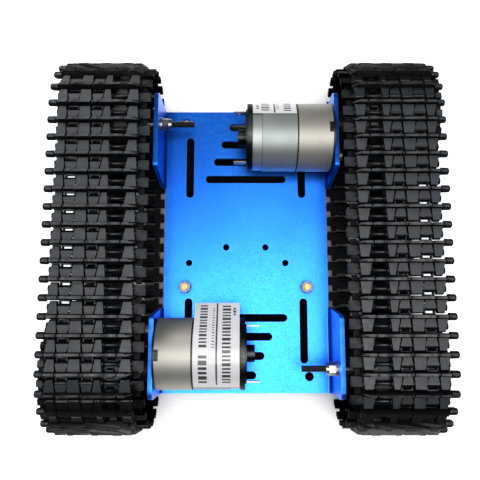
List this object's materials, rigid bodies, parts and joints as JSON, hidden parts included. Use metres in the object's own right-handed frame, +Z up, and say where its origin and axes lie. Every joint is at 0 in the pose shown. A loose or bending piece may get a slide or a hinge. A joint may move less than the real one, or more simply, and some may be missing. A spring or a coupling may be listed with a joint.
{
  "type": "tracked tank chassis",
  "caption": "Small tracked robot chassis: a folded blue plate with two geared motors that drive pinned plastic tracks round toothed sprockets and smooth idler wheels.",
  "frame": {"origin": "on the ground under the middle of the plate", "axes": "+Z up, +Y towards the front, +X to the right"},
  "size_m": [0.1772, 0.1774, 0.0596],
  "materials": {
    "blue_anodised": "bright blue anodised sheet with a fine grain",
    "track_plastic": "dark satin moulded plastic",
    "wheel_plastic": "black moulded plastic",
    "black_plastic": "black moulded end cap",
    "gearbox_steel": "warm satin steel",
    "can_steel": "grey satin plated steel",
    "bright_steel": "bright zinc-plated steel",
    "flux_ring_steel": "dull plated steel",
    "pin_steel": "dark drawn steel",
    "terminal_metal": "dull tinned brass",
    "gear_steel": "ground steel",
    "bearing_steel": "polished bearing steel",
    "armature_steel": "laminated steel with copper winding",
    "black_steel": "black oxide steel",
    "brass": "plain machined brass",
    "magnet": "sintered ferrite",
    "carbon": "pressed graphite",
    "label": "white plastic film with printed bars"
  },
  "bodies": {
    "chassis": {"chassis_plate": "blue_anodised", "standoffs": "brass", "standoff_nuts": "bright_steel", "motor_screws": "bright_steel", "gear_pins": "bright_steel", "idler_bolts": "black_steel", "idler_spacers": "bright_steel", "idler_washers": "bright_steel", "idler_lock_nuts": "bright_steel", "left_gearbox_housing": "gearbox_steel", "left_gearbox_front_plate": "bright_steel", "left_gearbox_rear_plate": "gearbox_steel", "left_motor_can": "can_steel", "left_motor_flux_ring": "flux_ring_steel", "left_motor_magnets": "magnet", "left_motor_end_cap": "black_plastic", "left_motor_bushes": "brass", "left_motor_terminals": "terminal_metal", "left_motor_brushes": "carbon", "left_motor_label": "label", "left_bearing_inner_races": "bearing_steel", "left_track_links": "track_plastic", "left_track_pins": "pin_steel", "right_gearbox_housing": "gearbox_steel", "right_gearbox_front_plate": "bright_steel", "right_gearbox_rear_plate": "gearbox_steel", "right_motor_can": "can_steel", "right_motor_flux_ring": "flux_ring_steel", "right_motor_magnets": "magnet", "right_motor_end_cap": "black_plastic", "right_motor_bushes": "brass", "right_motor_terminals": "terminal_metal", "right_motor_brushes": "carbon", "right_motor_label": "label", "right_bearing_inner_races": "bearing_steel", "right_track_links": "track_plastic", "right_track_pins": "pin_steel"},
    "left_drive": {"left_output_gear": "gear_steel", "left_output_shaft": "bright_steel", "left_sprocket_hub": "bright_steel", "left_sprocket_screws": "bright_steel", "left_sprocket": "wheel_plastic"},
    "left_idler": {"left_idler_wheel": "wheel_plastic", "left_bearing_outer_races": "bearing_steel", "left_bearing_balls": "bearing_steel"},
    "left_first_gear": {"left_first_gear": "brass"},
    "left_second_gear": {"left_second_gear": "brass"},
    "left_armature": {"left_armature": "armature_steel"},
    "right_drive": {"right_output_gear": "gear_steel", "right_output_shaft": "bright_steel", "right_sprocket_hub": "bright_steel", "right_sprocket_screws": "bright_steel", "right_sprocket": "wheel_plastic"},
    "right_idler": {"right_idler_wheel": "wheel_plastic", "right_bearing_outer_races": "bearing_steel", "right_bearing_balls": "bearing_steel"},
    "right_first_gear": {"right_first_gear": "brass"},
    "right_second_gear": {"right_second_gear": "brass"},
    "right_armature": {"right_armature": "armature_steel"}
  },
  "joints": [
    {"name": "left_drive_spin", "type": "hinge", "parent": "chassis", "child": "left_drive", "pos_m": [-0.063, -0.05925, 0.0298], "axis": [1, 0, 0], "continuous": true, "deforming": ["left_track_links", "left_track_pins"]},
    {"name": "left_idler_spin", "type": "hinge", "parent": "chassis", "child": "left_idler", "pos_m": [-0.063, 0.05925, 0.0298], "axis": [1, 0, 0], "continuous": true},
    {"name": "left_first_gear_spin", "type": "hinge", "parent": "chassis", "child": "left_first_gear", "pos_m": [-0.03, -0.04621, 0.03563], "axis": [1, 0, 0], "continuous": true},
    {"name": "left_second_gear_spin", "type": "hinge", "parent": "chassis", "child": "left_second_gear", "pos_m": [-0.033, -0.05414, 0.0384], "axis": [1, 0, 0], "continuous": true},
    {"name": "left_armature_spin", "type": "hinge", "parent": "chassis", "child": "left_armature", "pos_m": [-0.012, -0.05225, 0.0298], "axis": [1, 0, 0], "continuous": true},
    {"name": "right_drive_spin", "type": "hinge", "parent": "chassis", "child": "right_drive", "pos_m": [0.063, 0.05925, 0.0298], "axis": [1, 0, 0], "continuous": true, "deforming": ["right_track_links", "right_track_pins"]},
    {"name": "right_idler_spin", "type": "hinge", "parent": "chassis", "child": "right_idler", "pos_m": [0.063, -0.05925, 0.0298], "axis": [1, 0, 0], "continuous": true},
    {"name": "right_first_gear_spin", "type": "hinge", "parent": "chassis", "child": "right_first_gear", "pos_m": [0.03, 0.04621, 0.03563], "axis": [1, 0, 0], "continuous": true},
    {"name": "right_second_gear_spin", "type": "hinge", "parent": "chassis", "child": "right_second_gear", "pos_m": [0.033, 0.05414, 0.0384], "axis": [1, 0, 0], "continuous": true},
    {"name": "right_armature_spin", "type": "hinge", "parent": "chassis", "child": "right_armature", "pos_m": [0.012, 0.05225, 0.0298], "axis": [1, 0, 0], "continuous": true}
  ],
  "couplings": [
    {"joint": "left_second_gear_spin", "follows": "left_drive_spin", "ratio": -3.1667},
    {"joint": "left_first_gear_spin", "follows": "left_drive_spin", "ratio": 7.9167},
    {"joint": "left_armature_spin", "follows": "left_drive_spin", "ratio": -19.792},
    {"joint": "left_idler_spin", "follows": "left_drive_spin", "ratio": 1},
    {"joint": "right_second_gear_spin", "follows": "right_drive_spin", "ratio": -3.1667},
    {"joint": "right_first_gear_spin", "follows": "right_drive_spin", "ratio": 7.9167},
    {"joint": "right_armature_spin", "follows": "right_drive_spin", "ratio": -19.792},
    {"joint": "right_idler_spin", "follows": "right_drive_spin", "ratio": 1}
  ]
}
